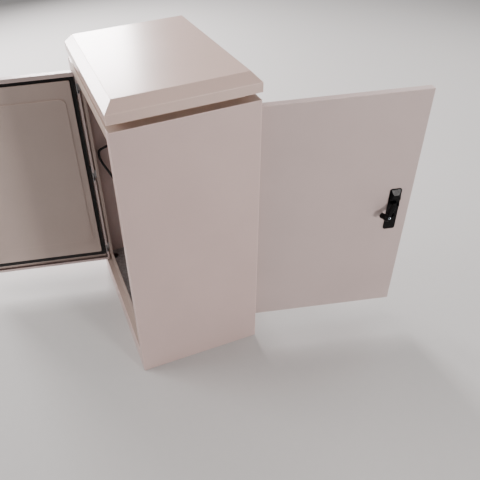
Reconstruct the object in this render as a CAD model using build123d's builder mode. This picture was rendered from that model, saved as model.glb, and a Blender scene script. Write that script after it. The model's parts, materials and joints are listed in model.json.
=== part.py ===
from build123d import *
from math import cos, pi, radians, sin, tan
import os

os.makedirs("parts", exist_ok=True)

# Outdoor controller cabinet: a folded sheet steel body with a door front and rear,
# both standing open, a raised roof, and a rack of signal equipment inside.
# Millimetres. Z is up, the front doorway faces -Y, the origin is at the centre of
# the base on the floor.

# Body
body_height = 1000
body_width = 620
body_depth = 450
sheet = 2
bend_radius = 3
bend_margin = 0.2
jamb_width = 30
lintel_height = 34
sill_height = 81

# Doorway frame: lining, rain gutter and the lip that meets the door's seal
lining_depth = 30
gutter_width = 31
lip_tip_depth = 19
weld_flange = 18

# Roof and neck
roof_overhang = 1.35
neck_height = 23.4
roof_rim_height = 29.6
roof_bevel_in = 27.1
roof_bevel_rise = 29.7
roof_return = 71
neck_inset_x = 40
neck_inset_y = 35
neck_flange = 30
neck_sheet = 2
vent_slot_length = 36
vent_slot_height = 6
vent_slot_pitch = 60
roof_bolt_radius = 4
roof_bolt_head_radius = 6.5
roof_bolt_head_height = 5.5
roof_bolt_inset = 15
roof_bolt_length = 16
roof_bolt_access = 1

# Base
base_bar_width = 50
base_bar_thickness = 4
base_leg_height = 40
anchor_hole_radius = 7
anchor_inset_x = 38
anchor_inset_y = 37
access_hole_radius = 16

# Doors and their hinges
door_gap = 3
door_thickness = 25
front_door_angle = 103.2
rear_door_angle = 102.4
hinge_axis_inset = 9
hinge_axis_depth = 7
pan_lip_hinge_side = 8
pan_lip_other = 16
pan_lip_bottom = 12
liner_edge_hinge_side = 14
liner_edge_other = 16
liner_field_inset = 30
liner_field_inset_bottom = 52
liner_flange_depth = 12
liner_corner_radius = 6
seal_width = 12
seal_clearance = 0.3
hinge_from_end = 63
hinge_pin_radius = 2.5
hinge_bore_clearance = 0.03
knuckle_radius = 4.5
knuckle_height = 35
side_knuckle_height = 18
knuckle_gap = 0.4
leaf_thickness = 2.5
leaf_clearance = 1
leaf_step = 0.5
door_leaf_width = 34
notch_clearance = 2

# Door stiffener and document pocket on the liners
stiffener_left = 56
stiffener_right = 90
stiffener_below = 123
stiffener_above = 96
stiffener_radius = 24
stiffener_height = 4
pocket_width = 300
pocket_above_edge = 116
pocket_height = 170
pocket_depth = 24
pocket_wall = 2

# Swing handle on each door
handle_inset = 57
hub_above_middle = 29.5
plate_below_hub = 113
plate_above_hub = 56
plate_width = 40
plate_thickness = 3
plate_corner_radius = 7
head_above_hub = 11
head_margin = 3
head_height = 11.5
head_slope = 19
head_side_slope = 8.5
head_end_height = 7
head_end_slope = 4
hub_radius = 10.5
hub_clearance = 0.3
hub_top = 21
fork_floor_gap = 1
cross_pin_inset = 2
lift_pin_height = 15
lift_pin_radius = 2
swing_angle = 43
lift_angle = 25
lever_length = 52
lever_width = 16
lever_thickness = 10
lever_edge = 2.5
tongue_width = 9
tongue_length = 12
fork_clearance = 0.4
pin_clearance = 0.04
boss_radius = 13
barrel_radius = 10
barrel_front = 11
barrel_back = 26.5
plug_radius = 5
plug_clearance = 0.04
plug_recess = 0.6
key_slot_width = 1.8
key_slot_height = 7
key_slot_depth = 16
tail_cam_thickness = 2.2
tail_cam_gap = 0.3
tail_cam_length = 6
well_radius = 12
well_wall = 1.5
well_depth = 16
spindle_radius = 5
spindle_clearance = 0.05
spindle_boss_radius = 9
spindle_proud = 1
hole_clearance = 0.3
spindle_boss_depth = 28
fixing_screw_radius = 3.2
fixing_screw_drop = 12
fixing_screw_recess = 1

# Lock rods behind the doorway lips
rod_width = 16
rod_thickness = 3
rod_depth = 31
rod_pin_arm = 16
rod_pin_radius = 2.5
rod_pin_clearance = 0.6
rod_overlap = 6
rod_tail = 5
rod_tip_margin = 1
rod_cam_radius = 21
rod_cam_thickness = 3
rod_cam_gap = 0.5
rod_guide_wall = 2
rod_guide_length = 24
rod_guide_clearance = 0.4
rod_guide_from_end = 150
rod_guide_from_cam = 22.5

# Rack uprights and shelves
post_wall_gap = 46
post_width = 37
post_front_inset = 75
post_rear_inset = 165
post_depth = 28
post_sheet = 2
ear_lap = 16.3
ear_thickness = 2.5

# Controller rack and its cards
rack_top_gap = 24
rack_post_gap = 3.5
rack_height = 266
rack_depth = 190
rack_sheet = 1.5
card_side_gap = 6.65
card_count = 11
card_gap = 0.3
card_panel_thickness = 2.5
card_board_thickness = 1.6
card_board_depth = 160
control_card_width = 91.4
card_board_margin = 16
card_handle_width = 6
card_handle_reach = 12
card_handle_height = 20
display_width = 66
display_height = 44
display_recess = 1
display_below_top = 62
key_radius = 4
key_proud = 1.5
key_pitch = 15
keys_below_display = 66

# Breaker panel
breaker_panel_gap = 23
breaker_panel_height = 133
breaker_window_height = 46
breaker_window_margin = 1
breaker_width = 35.4
breaker_nose = 45
breaker_height = 84
breaker_positions = (-78, -42)
breaker_nose_proud = 6
axle_seat_wall = 1
toggle_axle_radius = 1.8
toggle_tip = 5
toggle_width = 8
toggle_radius = 7
toggle_reach = 15
toggle_depth = 3
toggle_swing = 40
toggle_clearance = 0.4

# Power supply, terminals and rails
rail_width = 35
rail_depth = 7.5
rail_sheet = 1.2
rail_bracket = 2
supply_width = 215
supply_height = 115
supply_depth = 60
supply_gap = 35
shelf_depth = 180
terminal_shelf_gap = 30
terminal_height = 52
terminal_depth = 38
terminal_gap = 0.15
terminal_step = 8
rail_brim = 5
rail_setback = 60
supply_setback = 10
shelf_ear_height = 42

# Supply box on the right wall, gland plate and cable. The route's points are measured
# from the cable's line along the wall, from the rear face and from the box's middle.
outlet_length = 16
sleeve_seat = 6
cable_wall_gap = 25
cable_route = (
    (0, -53, 0),
    (0, -42, -49),
    (-1, -80, -136),
    (-8, -108, -205),
    (-25, -121, -270),
    (-62, -124, -330),
    (-105, -139, -385),
    (-140, -171, -428),
)
cable_drop = 83
gland_x = 130
gland_y = 26
gland_nut = 5
cable_seat = 8
box_width = 45
box_depth = 70
box_height = 90
box_below_rack = 43
box_rear_inset = 177
gland_plate_width = 360
gland_plate_depth = 130
gland_plate_sheet = 3
gland_radius = 12
gland_body_radius = 9
gland_length = 24
gland_count = 6
gland_pitch = 52
cable_radius = 5
arc_share = 0.45
sleeve_radius = 7
sleeve_length = 76

# Fan under the roof vent
fan_size = 120
fan_thickness = 38
fan_bore_radius = 57
fan_hub_radius = 20
fan_blade_count = 7
fan_blade_radius = 54
fan_strut = 6
fan_shaft_radius = 4
fan_blade_chord = 24
fan_blade_thickness = 2
fan_blade_pitch = 35
fan_blade_root = 2
fan_hub_gap = 1
fan_rotor_drop = 3

# Derived sizes
half_width = body_width / 2
half_depth = body_depth / 2
opening_width = body_width - 2 * jamb_width
opening_height = body_height - lintel_height - sill_height
opening_top = body_height - lintel_height
opening_middle = sill_height + opening_height / 2
door_width = opening_width - 2 * door_gap
door_height = opening_height - 2 * door_gap
door_bottom = sill_height + door_gap
door_top = opening_top - door_gap
hinge_heights = (door_bottom + hinge_from_end, opening_middle, door_top - hinge_from_end)
roof_rim_bottom = body_height + neck_height
roof_rim_top = roof_rim_bottom + roof_rim_height
roof_top = roof_rim_top + roof_bevel_rise
floor_top = sill_height - sheet
inner_half_width = half_width - sheet
inner_half_depth = half_depth - sheet
anchor_spacing_x = 2 * (inner_half_width - anchor_inset_x)
anchor_spacing_y = 2 * (inner_half_depth - anchor_inset_y)
handle_centre = door_width - handle_inset
hub_height_on_door = opening_middle + hub_above_middle
plate_bottom = hub_height_on_door - plate_below_hub
plate_top = hub_height_on_door + plate_above_hub
head_bottom = hub_height_on_door + head_above_hub
pocket_left = (handle_centre - pocket_width) / 2
pocket_bottom = door_bottom + pocket_above_edge
post_outer_x = inner_half_width - post_wall_gap
post_inner_x = post_outer_x - post_width
post_front_y = post_front_inset - half_depth
post_rear_y = half_depth - post_rear_inset
rack_front_y = post_front_y - ear_thickness
rack_width = 2 * (post_inner_x - rack_post_gap)
rack_panel_width = 2 * (post_inner_x + ear_lap)
rack_top = opening_top - rack_top_gap
rack_bottom = rack_top - rack_height
cards_width = rack_width - 2 * (rack_sheet + card_side_gap)
card_pitch = (cards_width - control_card_width) / card_count
card_height = rack_height - 2 * rack_sheet - 2 * card_gap
card_middle_z = rack_bottom + rack_height / 2
first_card_x = control_card_width - cards_width / 2
control_card_x = (control_card_width - cards_width) / 2
display_z = rack_top - display_below_top
keys_z = display_z - keys_below_display
breaker_panel_bottom = rack_bottom - breaker_panel_gap - breaker_panel_height
breaker_middle_z = breaker_panel_bottom + breaker_panel_height / 2
breaker_axis_y = rack_front_y - breaker_nose_proud + toggle_radius + toggle_depth
rail_y = post_front_y + rail_setback
supply_bottom = breaker_panel_bottom - supply_gap - supply_height
terminal_rail_height = supply_bottom - rack_sheet - terminal_shelf_gap - terminal_height / 2
box_centre_z = rack_bottom - box_below_rack
box_front_y = half_depth - box_rear_inset - box_depth
cable_x = inner_half_width - cable_wall_gap
neck_width = body_width - 2 * neck_inset_x
neck_depth = body_depth - 2 * neck_inset_y
roof_bolt_spacing = (
    neck_width - 2 * (neck_sheet + roof_bolt_inset),
    neck_depth - 2 * (neck_sheet + roof_bolt_inset),
)
seal_top_depth = lip_tip_depth - seal_clearance
rod_travel = 2 * rod_pin_arm * sin(radians(45))
rod_drawn_back = rod_travel * swing_angle / 90
rod_offset = rod_pin_arm * (1 + cos(radians(45))) / 2
hub_base = plate_thickness + hub_clearance


def save(piece, name):
    """Label a finished piece and write it to its own file."""
    piece.part.label = name
    export_step(piece.part, f"parts/{name}.step")


def turned(plane, pivot, angle):
    """A plane turned about the upright line through a point."""
    arm = (plane.origin - pivot).rotate(Axis.Z, angle)
    return Plane(origin=pivot + arm, x_dir=plane.x_dir.rotate(Axis.Z, angle), z_dir=plane.z_dir)


def spun(plane, direction, angle):
    """A plane turned in place about a direction through its own origin."""
    axis = Axis((0, 0, 0), direction)
    return Plane(
        origin=plane.origin, x_dir=plane.x_dir.rotate(axis, angle), z_dir=plane.z_dir.rotate(axis, angle)
    )


def door_plane(closed, angle):
    """The plane of a door that stands open: x along the door, y into the cabinet when closed."""
    pivot = closed.from_local_coords(Vector(hinge_axis_inset, hinge_axis_depth, 0))
    return turned(closed, pivot, -angle)


def face_plane(door, depth):
    """A plane along a door, x from its hinge edge and y up, at a depth from its outer face."""
    origin = door.from_local_coords(Vector(0, depth, 0))
    return Plane(origin=origin, x_dir=door.x_dir, z_dir=door.y_dir * -1)


def block(low, high, mode=Mode.ADD):
    """A rectangular block between two corners, on the current plane."""
    size = [high[i] - low[i] for i in range(3)]
    middle = [(high[i] + low[i]) / 2 for i in range(3)]
    with Locations(tuple(middle)):
        Box(*size, mode=mode)


def drill(across, height, depth, radius, length):
    """A round hole into a door from a depth below its outer face, on the door's plane."""
    with Locations(Location((across, depth, height), (90, 0, 0))):
        Hole(radius, depth=length)


def frame_sketch(grow, hole):
    """A rectangular ring around the doorway, both edges measured outwards from its lining."""
    with Locations((door_width / 2, opening_middle)):
        Rectangle(opening_width + 2 * grow, opening_height + 2 * grow)
        Rectangle(opening_width + 2 * hole, opening_height + 2 * hole, mode=Mode.SUBTRACT)


front_closed = Plane(origin=(door_gap - opening_width / 2, -half_depth, 0), x_dir=(1, 0, 0), z_dir=(0, 0, 1))
rear_closed = Plane(origin=(opening_width / 2 - door_gap, half_depth, 0), x_dir=(-1, 0, 0), z_dir=(0, 0, 1))
front_open = door_plane(front_closed, front_door_angle)
rear_open = door_plane(rear_closed, rear_door_angle)


def make_side_panel(name, side):
    """A side wall folded into the upright faces beside both doorways."""
    with BuildPart() as panel:
        with BuildSketch(Plane.XY) as plan:
            with Locations((side * (half_width - sheet / 2), 0)):
                Rectangle(sheet, body_depth)
            with GridLocations(0, body_depth - sheet, 1, 2):
                with Locations((side * (half_width - jamb_width / 2), 0)):
                    Rectangle(jamb_width, sheet)
        extrude(amount=body_height)
        corners = panel.edges().filter_by(Axis.Z).group_by(Axis.Y)
        outer = [group.sort_by(Axis.X)[0 if side < 0 else -1] for group in (corners[0], corners[-1])]
        fillet(outer, radius=sheet - bend_margin)
    save(panel, name)


def make_top_panel():
    """The ceiling, folded down into both lintels, with the fan's hole in it."""
    with BuildPart() as panel:
        block((-opening_width / 2, -half_depth, body_height - sheet), (opening_width / 2, half_depth, body_height))
        block(
            (-inner_half_width, -inner_half_depth, body_height - sheet),
            (inner_half_width, inner_half_depth, body_height),
        )
        for side in (-1, 1):
            low_y, high_y = sorted((side * inner_half_depth, side * half_depth))
            block((-opening_width / 2, low_y, opening_top), (opening_width / 2, high_y, body_height))
        with Locations((0, 0, body_height)):
            Hole(fan_bore_radius, depth=sheet)
        with Locations((0, 0, body_height)):
            with GridLocations(*roof_bolt_spacing, 2, 2):
                Hole(roof_bolt_head_radius + roof_bolt_access, depth=sheet)
    save(panel, "top_panel")


def make_sills():
    """The two plain faces below the doorways."""
    with BuildPart() as sills:
        with Locations((0, 0, sill_height / 2)):
            with GridLocations(0, body_depth - sheet, 1, 2):
                Box(opening_width, sheet, sill_height)
    save(sills, "sill_panels")


def make_floor_panel():
    """The raised floor with turned-down edges, the gland opening and the anchor access holes."""
    flange_y = inner_half_depth - sheet
    with BuildPart() as panel:
        block((-inner_half_width, -flange_y, floor_top - sheet), (inner_half_width, flange_y, floor_top))
        for side in (-1, 1):
            low_x, high_x = sorted((side * (inner_half_width - sheet), side * inner_half_width))
            block((low_x, -flange_y, floor_top - weld_flange), (high_x, flange_y, floor_top))
        opening = (gland_plate_width - 2 * weld_flange, gland_plate_depth - 2 * weld_flange)
        with Locations((0, 0, floor_top - sheet / 2)):
            Box(*opening, 2 * sheet, mode=Mode.SUBTRACT)
        with Locations((0, 0, floor_top)):
            with GridLocations(anchor_spacing_x, anchor_spacing_y, 2, 2):
                Hole(access_hole_radius, depth=sheet)
    save(panel, "floor_panel")


def make_base_frame():
    """The ring of angle bar that stands on the ground, with its four anchor holes."""
    leg_top = base_leg_height
    width = 2 * inner_half_width
    depth = 2 * inner_half_depth
    with BuildPart() as base:
        with BuildSketch(Plane.XY):
            Rectangle(width, depth)
            Rectangle(width - 2 * base_bar_width, depth - 2 * base_bar_width, mode=Mode.SUBTRACT)
        extrude(amount=base_bar_thickness)
        with BuildSketch(Plane.XY):
            Rectangle(width, depth)
            Rectangle(width - 2 * base_bar_thickness, depth - 2 * base_bar_thickness, mode=Mode.SUBTRACT)
        extrude(amount=leg_top)
        with Locations((0, 0, base_bar_thickness)):
            with GridLocations(anchor_spacing_x, anchor_spacing_y, 2, 2):
                Hole(anchor_hole_radius, depth=base_bar_thickness)
    save(base, "base_frame")


def make_door_frame(name, closed):
    """The lining of a doorway with its rain gutter and the lip that bites into the door's seal."""
    with BuildPart() as frame:
        with BuildSketch(face_plane(closed, sheet)):
            frame_sketch(weld_flange, 0)
        extrude(amount=-sheet)
        with BuildSketch(face_plane(closed, sheet)):
            frame_sketch(sheet, 0)
        extrude(amount=sheet - lining_depth)
        with BuildSketch(face_plane(closed, lining_depth - sheet)):
            frame_sketch(sheet, -gutter_width)
        extrude(amount=-sheet)
        with BuildSketch(face_plane(closed, lip_tip_depth)):
            frame_sketch(sheet - gutter_width, -gutter_width)
        extrude(amount=lip_tip_depth - lining_depth)
    save(frame, name)


def make_neck_frame():
    """The raised collar between body and roof, slotted for air and flanged at its top edge."""
    middle = body_height + neck_height / 2
    with BuildPart() as neck:
        with BuildSketch(Plane.XY.offset(body_height)):
            Rectangle(neck_width, neck_depth)
            Rectangle(neck_width - 2 * neck_sheet, neck_depth - 2 * neck_sheet, mode=Mode.SUBTRACT)
        extrude(amount=neck_height)
        with BuildSketch(Plane.XY.offset(roof_rim_bottom - neck_sheet)):
            Rectangle(neck_width, neck_depth)
            Rectangle(neck_width - 2 * neck_flange, neck_depth - 2 * neck_flange, mode=Mode.SUBTRACT)
        extrude(amount=neck_sheet)
        with Locations((0, 0, middle)):
            with GridLocations(vent_slot_pitch, neck_depth, int(neck_width // vent_slot_pitch), 2):
                Box(vent_slot_length, 3 * neck_sheet, vent_slot_height, mode=Mode.SUBTRACT)
        with Locations((0, 0, middle)):
            with GridLocations(neck_width, vent_slot_pitch, 2, int(neck_depth // vent_slot_pitch)):
                Box(3 * neck_sheet, vent_slot_length, vent_slot_height, mode=Mode.SUBTRACT)
        with Locations((0, 0, roof_rim_bottom)):
            with GridLocations(*roof_bolt_spacing, 2, 2):
                Hole(roof_bolt_radius + hole_clearance, depth=neck_sheet)
    save(neck, "neck_frame")


def make_roof_cap():
    """The roof: an upright rim, a bevel all round and a flat top, hollow, with an inward return."""
    roof_width = body_width + 2 * roof_overhang
    roof_depth = body_depth + 2 * roof_overhang
    with BuildPart() as roof:
        with BuildSketch(Plane.XY.offset(roof_rim_bottom)):
            Rectangle(roof_width, roof_depth)
        extrude(amount=roof_rim_height)
        with BuildSketch(Plane.XY.offset(roof_rim_top)):
            Rectangle(roof_width, roof_depth)
        with BuildSketch(Plane.XY.offset(roof_top)):
            Rectangle(roof_width - 2 * roof_bevel_in, roof_depth - 2 * roof_bevel_in)
        loft()
        offset(amount=-sheet, openings=roof.faces().sort_by(Axis.Z)[0])
        with BuildSketch(Plane.XY.offset(roof_rim_bottom)):
            Rectangle(roof_width, roof_depth)
            Rectangle(roof_width - 2 * roof_return, roof_depth - 2 * roof_return, mode=Mode.SUBTRACT)
        extrude(amount=sheet)
        with Locations((0, 0, roof_rim_bottom + sheet)):
            with GridLocations(*roof_bolt_spacing, 2, 2):
                Hole(roof_bolt_radius + hole_clearance, depth=sheet)
    save(roof, "roof_cap")


def make_roof_bolts():
    """Four bolts, put in from inside the cabinet, that hold the roof's return to the neck."""
    head_top = roof_rim_bottom - neck_sheet
    with BuildPart() as bolts:
        with BuildSketch(Plane.XY.offset(head_top)):
            with GridLocations(*roof_bolt_spacing, 2, 2):
                RegularPolygon(roof_bolt_head_radius, 6)
        extrude(amount=-roof_bolt_head_height)
        with BuildSketch(Plane.XY.offset(head_top)):
            with GridLocations(*roof_bolt_spacing, 2, 2):
                Circle(roof_bolt_radius)
        extrude(amount=roof_bolt_length)
        with BuildSketch(Plane.XY.offset(roof_rim_bottom + sheet)):
            with GridLocations(*roof_bolt_spacing, 2, 2):
                RegularPolygon(roof_bolt_head_radius, 6)
                Circle(roof_bolt_radius, mode=Mode.SUBTRACT)
        extrude(amount=roof_bolt_head_height)
    save(bolts, "roof_bolts")


def make_hinge_brackets(name, closed):
    """Three body halves of the concealed hinges, standing on the gutter behind the pin line."""
    foot_depth = lining_depth - sheet
    foot_end = gutter_width - door_gap - sheet - notch_clearance
    with BuildPart(closed) as brackets:
        for height in hinge_heights:
            low = height - knuckle_height / 2
            high = height + knuckle_height / 2
            with Locations((hinge_axis_inset, hinge_axis_depth, height)):
                Cylinder(knuckle_radius, knuckle_height)
            left = hinge_axis_inset - leaf_thickness / 2
            block((left, hinge_axis_depth, low), (left + leaf_thickness, foot_depth, high))
            block((left, foot_depth - leaf_thickness, low), (foot_end, foot_depth, high))
            with Locations((hinge_axis_inset, hinge_axis_depth, height)):
                Cylinder(hinge_pin_radius + hinge_bore_clearance, knuckle_height, mode=Mode.SUBTRACT)
    save(brackets, name)


def make_hinge_leaves(name, door):
    """Three door halves of the concealed hinges, flat on the skin inside the door."""
    reach = knuckle_height / 2 + knuckle_gap + side_knuckle_height
    offset_z = knuckle_height / 2 + knuckle_gap + side_knuckle_height / 2
    flat_start = hinge_axis_inset + knuckle_radius + leaf_clearance
    with BuildPart(door) as leaves:
        for height in hinge_heights:
            block(
                (flat_start, sheet, height - reach),
                (hinge_axis_inset + door_leaf_width, sheet + leaf_thickness, height + reach),
            )
            for side in (-1, 1):
                middle = height + side * offset_z
                with Locations((hinge_axis_inset, hinge_axis_depth, middle)):
                    Cylinder(knuckle_radius, side_knuckle_height)
                block(
                    (hinge_axis_inset, sheet + leaf_step, middle - side_knuckle_height / 2),
                    (flat_start, sheet + leaf_thickness, middle + side_knuckle_height / 2),
                )
                with Locations((hinge_axis_inset, hinge_axis_depth, middle)):
                    Cylinder(
                        hinge_pin_radius + hinge_bore_clearance, side_knuckle_height, mode=Mode.SUBTRACT
                    )
    save(leaves, name)


def make_hinge_pins(name, door):
    """Three headed pins that join the hinge halves."""
    length = knuckle_height + 2 * (knuckle_gap + side_knuckle_height)
    with BuildPart(door) as pins:
        for height in hinge_heights:
            with Locations((hinge_axis_inset, hinge_axis_depth, height)):
                Cylinder(hinge_pin_radius, length)
            with Locations((hinge_axis_inset, hinge_axis_depth, height + length / 2 + leaf_thickness / 2)):
                Cylinder(knuckle_radius - leaf_step, leaf_thickness)
    save(pins, name)


def make_door_pan(name, door):
    """The folded door skin: flanged on four sides, with a return lip, notched at the hinges."""
    back = door_thickness
    with BuildPart(door) as pan:
        block((0, 0, door_bottom), (door_width, back, door_top))
        block(
            (sheet, sheet, door_bottom + sheet),
            (door_width - sheet, back - sheet, door_top - sheet),
            mode=Mode.SUBTRACT,
        )
        block(
            (pan_lip_hinge_side, back - sheet, door_bottom + pan_lip_bottom),
            (door_width - pan_lip_other, back, door_top - pan_lip_other),
            mode=Mode.SUBTRACT,
        )
        notch = knuckle_height / 2 + notch_clearance
        for height in hinge_heights:
            block(
                (0, sheet, height - notch),
                (pan_lip_hinge_side, back, height + notch),
                mode=Mode.SUBTRACT,
            )
        lock_height = hub_height_on_door - lever_length
        drill(handle_centre, hub_height_on_door, 0, spindle_boss_radius + hole_clearance, sheet)
        drill(handle_centre, lock_height, 0, well_radius + well_wall + hole_clearance, sheet)
    save(pan, name)


def liner_sketch(edge, edge_bottom, radius, mode=Mode.ADD):
    """A rectangle on the door's inner side, with its margins measured from the door's edges."""
    left, right = edge
    bottom, top = edge_bottom
    width = door_width - left - right
    height = door_height - bottom - top
    with Locations((left + width / 2, door_bottom + bottom + height / 2)):
        if radius > 0:
            RectangleRounded(width, height, radius, mode=mode)
        else:
            Rectangle(width, height, mode=mode)


def rod_guides():
    """Four bridges on the liner that the rods slide through."""
    back = door_thickness
    low = rod_depth - rod_guide_clearance
    high = rod_depth + rod_thickness + rod_guide_clearance
    half = rod_width / 2 + rod_guide_clearance
    outer = half + rod_guide_wall
    upper_z = opening_top - gutter_width - rod_guide_from_end
    lower_z = sill_height + gutter_width + rod_guide_from_end
    near = rod_cam_radius + rod_guide_from_cam + rod_guide_length / 2
    places = (
        (rod_offset, upper_z),
        (rod_offset, hub_height_on_door + near),
        (-rod_offset, hub_height_on_door - near),
        (-rod_offset, lower_z),
    )
    for shift, height in places:
        middle = handle_centre + shift
        bottom = height - rod_guide_length / 2
        top = height + rod_guide_length / 2
        block((middle - outer, back, bottom), (middle + outer, high + rod_guide_wall, top))
        block((middle - half, low, bottom), (middle + half, high, top), mode=Mode.SUBTRACT)


def pressed_field(door, depth, margin, mode):
    """The shallow field with round corners pressed into a liner, or its hollow side."""
    width = door_width - stiffener_left - stiffener_right
    height = door_height - stiffener_below - stiffener_above
    with BuildSketch(face_plane(door, depth)) as outline:
        with Locations((stiffener_left + width / 2, door_bottom + stiffener_below + height / 2)):
            RectangleRounded(width - 2 * margin, height - 2 * margin, stiffener_radius - margin)
    extrude(outline.sketch, amount=-stiffener_height, mode=mode)


def make_liner(name, door, pressed):
    """The door's inner panel: a raised field inside a flange that carries the seal."""
    outer = ((liner_edge_hinge_side, liner_edge_other), (liner_edge_hinge_side, liner_edge_other))
    field = (
        (liner_field_inset, liner_field_inset),
        (liner_field_inset_bottom, liner_field_inset),
    )
    inner = [tuple(value + sheet for value in pair) for pair in outer]
    hollow = [tuple(value + sheet for value in pair) for pair in field]
    leaf_reach = knuckle_height / 2 + knuckle_gap + side_knuckle_height + leaf_clearance
    with BuildPart(door) as liner:
        with BuildSketch(face_plane(door, sheet)):
            liner_sketch(*outer, 0)
        extrude(amount=-liner_flange_depth)
        with BuildSketch(face_plane(door, sheet)):
            liner_sketch(*field, liner_corner_radius)
        extrude(amount=sheet - door_thickness)
        with BuildSketch(face_plane(door, sheet)):
            liner_sketch(*inner, 0)
        extrude(amount=sheet - liner_flange_depth, mode=Mode.SUBTRACT)
        with BuildSketch(face_plane(door, sheet)):
            liner_sketch(*hollow, liner_corner_radius - sheet)
        extrude(amount=2 * sheet - door_thickness, mode=Mode.SUBTRACT)
        if pressed:
            pressed_field(door, door_thickness, 0, Mode.ADD)
            pressed_field(door, door_thickness - sheet, sheet, Mode.SUBTRACT)
        drill(handle_centre, hub_height_on_door, 0, spindle_boss_radius + hole_clearance, door_thickness)
        for height in hinge_heights:
            block(
                (0, 0, height - leaf_reach),
                (
                    liner_edge_hinge_side + sheet + leaf_clearance,
                    sheet + leaf_thickness + leaf_step,
                    height + leaf_reach,
                ),
                mode=Mode.SUBTRACT,
            )
        rod_guides()
    save(liner, name)


def make_seal(name, door):
    """The foam seal on the liner's flange, all round its raised field."""
    top = seal_top_depth
    base = liner_flange_depth + sheet
    low = liner_field_inset_bottom - liner_field_inset
    field = ((liner_field_inset, liner_field_inset), (liner_field_inset_bottom, liner_field_inset))
    rim = (
        (liner_edge_hinge_side + seal_clearance, liner_field_inset - seal_width),
        (liner_field_inset_bottom - seal_width - low / 2, liner_field_inset - seal_width),
    )
    with BuildPart() as seal:
        with BuildSketch(face_plane(door, base)):
            liner_sketch(*rim, liner_corner_radius)
            liner_sketch(*field, liner_corner_radius, mode=Mode.SUBTRACT)
        extrude(amount=base - top)
    save(seal, name)


def make_pocket():
    """The open-topped pocket for papers on the front door's liner."""
    door = front_open
    back = door_thickness
    with BuildPart(door) as pocket:
        block(
            (pocket_left, back, pocket_bottom),
            (pocket_left + pocket_width, back + pocket_depth, pocket_bottom + pocket_height),
        )
        block(
            (pocket_left + pocket_wall, back + pocket_wall, pocket_bottom + pocket_wall),
            (
                pocket_left + pocket_width - pocket_wall,
                back + pocket_depth - pocket_wall,
                pocket_bottom + pocket_height,
            ),
            mode=Mode.SUBTRACT,
        )
    save(pocket, "document_pocket")


def hub_plane(door):
    """The face plane at the handle's hub, turned to the lever: x across it, y back along it."""
    face = face_plane(door, 0)
    origin = face.from_local_coords(Vector(handle_centre, hub_height_on_door, 0))
    upright = Plane(origin=origin, x_dir=face.x_dir, z_dir=face.z_dir)
    return spun(upright, upright.z_dir, -swing_angle)


def lever_plane(door):
    """The lever's middle plane at its pin: x across the lever, y back from its end."""
    pin = hub_plane(door).offset(lift_pin_height)
    return spun(pin, pin.x_dir, -lift_angle)


def hood(face):
    """The hood of the handle's plate: a long upper slope that narrows between two side slopes."""
    half = plate_width / 2 - head_margin
    head_top = plate_top - head_margin
    brow = head_top - head_slope
    low = head_bottom + head_end_slope
    middle = face.from_local_coords(Vector(handle_centre, 0, 0))
    across = Plane(origin=middle, x_dir=face.y_dir, z_dir=face.x_dir)
    with BuildSketch(across) as profile:
        with BuildLine():
            Polyline(
                (head_bottom, 0),
                (head_bottom, head_end_height),
                (low, head_height),
                (brow, head_height),
                (head_top, plate_thickness),
                (head_top, 0),
                close=True,
            )
        make_face()
    extrude(profile.sketch, amount=half, both=True)
    for side in (-1, 1):
        corner = face.from_local_coords(Vector(handle_centre + side * half, head_top, plate_thickness))
        brow_x = handle_centre + side * (half - head_side_slope)
        first = face.from_local_coords(Vector(brow_x, brow, head_height))
        second = face.from_local_coords(Vector(handle_centre + side * half, low, head_height))
        outward = (first - corner).cross(second - corner) * side
        split(bisect_by=Plane(origin=corner, x_dir=first - corner, z_dir=outward), keep=Keep.BOTTOM)


def make_handle_plate(name, door):
    """The black plate on the door: hood, hub seat, spindle boss and the well for the lock."""
    face = face_plane(door, 0)
    middle = (plate_bottom + plate_top) / 2
    with BuildPart(door) as plate:
        hood(face)
        with BuildSketch(face):
            with Locations((handle_centre, middle)):
                RectangleRounded(plate_width, plate_top - plate_bottom, plate_corner_radius)
        extrude(amount=plate_thickness)
        with BuildSketch(face):
            with Locations((handle_centre, hub_height_on_door)):
                Circle(spindle_boss_radius)
        extrude(amount=-spindle_boss_depth)
        with BuildSketch(face):
            with Locations((handle_centre, hub_height_on_door - lever_length)):
                Circle(well_radius + well_wall)
        extrude(amount=-well_depth - well_wall)
        lock_height = hub_height_on_door - lever_length
        drill(handle_centre, lock_height, -plate_thickness, well_radius, plate_thickness + well_depth)
        bore = spindle_radius + spindle_clearance
        drill(handle_centre, hub_height_on_door, -plate_thickness, bore, plate_thickness + spindle_boss_depth)
        screw_height = plate_bottom + fixing_screw_drop
        drill(handle_centre, screw_height, -plate_thickness, fixing_screw_radius, fixing_screw_recess)
    save(plate, name)


def make_hub(name, door):
    """The hub that turns on the plate, with the lever's fork and cross pin, and a spindle."""
    hub = hub_plane(door)
    spindle_end = rod_depth + rod_thickness + rod_cam_gap + rod_cam_thickness + spindle_proud
    with BuildPart() as piece:
        with BuildSketch(hub.offset(hub_base)):
            Circle(hub_radius)
        extrude(amount=hub_top - hub_base)
        with BuildSketch(hub.offset(hub_base)):
            Circle(spindle_radius)
        extrude(amount=-hub_base - spindle_end)
        with BuildSketch(hub.offset(hub_top)):
            Rectangle(tongue_width + 2 * fork_clearance, 3 * hub_radius)
        slot_floor = lift_pin_height - lever_thickness / 2 - fork_floor_gap
        extrude(amount=slot_floor - hub_top, mode=Mode.SUBTRACT)
        across = Plane(origin=hub.offset(lift_pin_height).origin, x_dir=hub.y_dir, z_dir=hub.x_dir)
        with BuildSketch(across.offset(-hub_radius)):
            Circle(lift_pin_radius)
        extrude(amount=2 * hub_radius, mode=Mode.SUBTRACT)
        length = 2 * (hub_radius - cross_pin_inset)
        with BuildSketch(across.offset(-length / 2)):
            Circle(lift_pin_radius - pin_clearance)
        extrude(amount=length)
    save(piece, name)


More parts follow.
